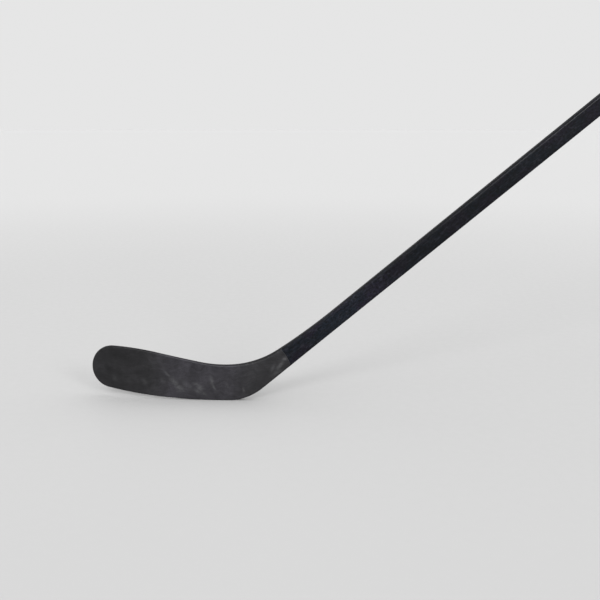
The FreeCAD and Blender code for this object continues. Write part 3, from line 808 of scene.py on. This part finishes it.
def matt_carbon(name, wear, marked):
    """Matt chopped-carbon laminate: faint chips and marbling, rubbed marks, dull worn edges, and
    painted light and shade along the blade.
    """
    finish = Finish(name, {"Specular IOR Level": 0.20})
    place = finish.place
    warp = finish.noise(place, 30.0, 3.0, output="Color")
    swirl = finish.add("VectorMath", {0: place, 1: finish.mapped(warp, scale=(0.03, 0.0, 0.03))},
                       operation="ADD").outputs[0]
    cloud = finish.noise(swirl, 34.0, 5.0, 0.55)
    chip_place = finish.mapped(swirl, turn=(0, 0.9, 0), scale=(1, 0.3, 2.6))
    chips = finish.axes(finish.cells(chip_place, 70.0, "Color"))[0]
    fibre_place = finish.mapped(swirl, turn=(0, 0.9, 0), scale=(90, 90, 1500))
    fibres = finish.noise(fibre_place, 1.0, 4.0, 0.6)
    bands = finish.noise(finish.mapped(swirl, scale=(110, 10, 22)), 1.0, 4.0, 0.55)
    grain = finish.noise(place, 1500.0, 4.0, 0.65)

    tint = finish.mix(finish.span(cloud, 0.35, 0.68), colour(0.0150, 0.0147, 0.0163),
                      colour(0.0213, 0.0208, 0.0230))
    tint = finish.shaded(tone_and_painted_light(finish, tint), finish.times(
        finish.span(chips, 0.0, 1.0, 0.88, 1.14),
        finish.span(bands, 0.38, 0.62, 0.92, 1.06),
        finish.span(fibres, 0.32, 0.68, 0.82, 1.16),
        finish.span(grain, 0.34, 0.66, 0.84, 1.16)))
    rough = finish.span(cloud, 0.3, 0.7, 0.48, 0.60)
    if marked:
        front = finish.span(finish.normal[1], 0.0, -0.4)
        pale = finish.times(marks(finish, PALE_MARKS), front)
        dark = finish.times(marks(finish, DARK_MARKS), front)
        tint = finish.mix(dark, tint, colour(0.45, 0.45, 0.46), "MULTIPLY")
        tint = finish.mix(pale, tint, colour(0.088, 0.089, 0.092))
        rough = finish.plus(rough, finish.times(pale, -0.08))
    worn = finish.times(laminate_wear(finish), wear)
    tint = finish.mix(worn, tint, colour(0.065, 0.065, 0.065))
    rough = finish.plus(rough, finish.times(worn, 0.15), finish.times(finish.narrow, 0.30))

    normal = finish.bump(chips, 0.00004, 0.4)
    normal = finish.bump(fibres, 0.00004, 0.6, normal)
    normal = finish.bump(grain, 0.00004, 0.6, normal)
    return finish.done(tint, rough, normal)


def mottled(name, dark, light, scale, roughness, depth, constants=()):
    """A plain moulded or cast material: two tones, a coarse and a fine noise, a fine relief."""
    finish = Finish(name, dict(constants))
    coarse = finish.noise(finish.place, scale, 5.0, 0.6)
    fine = finish.noise(finish.place, scale * 9, 3.0, 0.6)
    tint = finish.mix(finish.span(coarse, 0.35, 0.65), dark, light)
    tint = finish.shaded(tint, finish.span(fine, 0.3, 0.7, 0.88, 1.12))
    worn = finish.times(finish.span(finish.rim, 0.4, 1.0), finish.span(fine, 0.45, 0.6))
    tint = finish.mix(finish.times(worn, 0.35), tint, light)
    rough = finish.span(coarse, 0.3, 0.7, roughness - 0.06, roughness + 0.06)
    return finish.done(tint, rough, finish.bump(fine, depth, 0.6))


def foam(name, dark, light, cell):
    """Closed-cell foam: bubbles of a size, darker in their hollows."""
    finish = Finish(name, {"Specular IOR Level": 0.25})
    bubbles = finish.cells(finish.place, 1 / cell, "Distance")
    shade = finish.noise(finish.place, 60.0)
    tint = finish.mix(finish.span(bubbles, 0.1, 0.6), dark, light)
    tint = finish.shaded(tint, finish.span(shade, 0.3, 0.7, 0.9, 1.05))
    rough = finish.span(shade, 0.3, 0.7, 0.75, 0.9)
    return finish.done(tint, rough, finish.bump(bubbles, cell / 4, 0.7))


def bare_carbon():
    """Uncoated twill laminate."""
    finish = Finish("bare_carbon", {"Specular IOR Level": 0.5})
    weave = finish.weave(finish.place, TWILL_TOW)
    shade = finish.noise(finish.place, 80.0)
    tint = finish.mix(weave, colour(0.016, 0.016, 0.018), colour(0.045, 0.046, 0.050))
    tint = finish.shaded(tint, finish.span(shade, 0.3, 0.7, 0.85, 1.1))
    rough = finish.span(shade, 0.3, 0.7, 0.38, 0.52)
    return finish.done(tint, rough, finish.bump(weave, 0.0002, 0.6))


# ------------------------------------------------------------ the stick

def dress(item, material):
    item.data.materials.clear()
    item.data.materials.append(material)


def place_piece(piece, node, material):
    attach(piece, "root")
    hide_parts(node)
    dress(piece, material)


low_rail, high_rail = blade_rails()
blade_finish = matt_carbon("matt_carbon", 0.4, True)
edge_finish = matt_carbon("matt_carbon_edge", 0.6, False)
filler = mottled("seam_filler", colour(0.013, 0.013, 0.015), colour(0.026, 0.026, 0.028), 260.0,
                 0.5, 0.00003)
plug_plastic = mottled("cap_plastic", colour(0.018, 0.018, 0.020), colour(0.032, 0.032, 0.035),
                       120.0, 0.52, 0.00008)

place_piece(shaft_piece(), "shaft_tube", satin_shaft())
place_piece(seam_piece(), "joint_seam", filler)
place_piece(hosel_piece(), "hosel_tenon", blade_finish)
place_piece(cap_piece(), "butt_cap", plug_plastic)
place_piece(band_piece(low_rail, high_rail), "blade_edge_band", edge_finish)
place_piece(face_piece("backhand_face", -1, low_rail, high_rail), "blade_backhand_face",
            blade_finish)
place_piece(face_piece("forehand_face", 1, low_rail, high_rail), "blade_forehand_face",
            blade_finish)

core_foam = foam("foam", colour(0.62, 0.60, 0.52), colour(0.82, 0.80, 0.72), 0.0008)
toe_filler = foam("toe_filler", colour(0.42, 0.38, 0.30), colour(0.55, 0.50, 0.40), 0.0004)
hot_melt = mottled("adhesive", colour(0.50, 0.42, 0.27), colour(0.66, 0.58, 0.41), 90.0, 0.35,
                   0.0001, {"Subsurface Weight": 0.2})
INNER_FINISHES = {
    "hosel_core": core_foam,
    "blade_upper_core": core_foam,
    "blade_lower_core": core_foam,
    "toe_insert": toe_filler,
    "blade_rib": bare_carbon(),
    "tenon_glue": hot_melt,
    "cap_glue": hot_melt,
}
for node, material in INNER_FINISHES.items():
    dress(frame["nodes"][node], material)


# ------------------------------------------------------------ floor, light and camera, metres

FLOOR_HALF = 60.0
BRIGHTEST = (0.0, -0.5, 0.87)       # the way that the pale walls are brightest
CAMERA_PLACE = (0.13426, -1.41165, 0.48071)
CAMERA_TILT = math.radians(78)
CAMERA_LENS = 50.0                  # in mm, as is its sensor
CAMERA_SENSOR = 36.0
FAR_END = 200.0


def floor_finish():
    """A plain pale floor that grows a little paler away from the stick."""
    finish = Finish("pale_floor", {"Specular IOR Level": 0.12})
    drift = finish.noise(finish.place, 1.3, 3.0)
    grain = finish.noise(finish.place, 60.0)
    tint = finish.mix(drift, colour(0.485, 0.485, 0.485), colour(0.500, 0.500, 0.500))
    far = finish.add("VectorMath", {0: finish.place}, operation="LENGTH").outputs["Value"]
    tint = finish.mix(finish.span(far, 0.9, 4.5), tint, colour(0.560, 0.560, 0.560))
    rough = finish.span(grain, 0.3, 0.7, 0.50, 0.60)
    return finish.done(tint, rough, finish.bump(grain, 0.0002, 0.15))


def floor_piece(half):
    mesh = bpy.data.meshes.new("floor")
    corners = [(-half, -half, 0), (half, -half, 0), (half, half, 0), (-half, half, 0)]
    mesh.from_pydata(corners, [], [(0, 1, 2, 3)])
    floor = bpy.data.objects.new("floor", mesh)
    bpy.context.scene.collection.objects.link(floor)
    dress(floor, floor_finish())


def soft_light(name, towards, spread, strength):
    """A distant light as wide as its spread in degrees; towards points from the stick to it."""
    data = bpy.data.lights.new(name, "SUN")
    data.angle = math.radians(spread)
    data.energy = strength
    lamp = bpy.data.objects.new(name, data)
    lamp.rotation_euler = Vector(towards).to_track_quat("Z", "Y").to_euler()
    bpy.context.scene.collection.objects.link(lamp)


def pale_world(behind, before):
    """Pale walls all round, brightest in front of the stick and above it."""
    world = bpy.data.worlds.new("pale_studio")
    world.use_nodes = True
    tree = world.node_tree
    way = tree.nodes.new("ShaderNodeTexCoord").outputs["Generated"]
    facing = tree.nodes.new("ShaderNodeVectorMath")
    facing.operation = "DOT_PRODUCT"
    facing.inputs[1].default_value = BRIGHTEST
    fade = tree.nodes.new("ShaderNodeMapRange")
    fade.interpolation_type = "SMOOTHSTEP"
    limits = {"From Min": -0.3, "From Max": 0.9, "To Min": behind, "To Max": before}
    for socket, value in limits.items():
        fade.inputs[socket].default_value = value
    tree.links.new(way, facing.inputs[0])
    tree.links.new(facing.outputs["Value"], fade.inputs["Value"])
    tree.links.new(fade.outputs["Result"], tree.nodes["Background"].inputs["Color"])
    bpy.context.scene.world = world


def set_camera():
    data = bpy.data.cameras.new("camera")
    data.lens = CAMERA_LENS
    data.sensor_width = CAMERA_SENSOR
    data.clip_end = FAR_END
    camera = bpy.data.objects.new("camera", data)
    camera.location = CAMERA_PLACE
    camera.rotation_euler = (CAMERA_TILT, 0, 0)
    bpy.context.scene.collection.objects.link(camera)
    bpy.context.scene.camera = camera


floor_piece(FLOOR_HALF)
pale_world(behind=0.79, before=1.25)
soft_light("front_left", towards=(-0.33, -1.42, 1.0), spread=18, strength=0.95)
soft_light("front_right", towards=(1.45, -2.00, 1.0), spread=16, strength=0.85)
set_camera()
bpy.context.scene.view_settings.view_transform = "Standard"
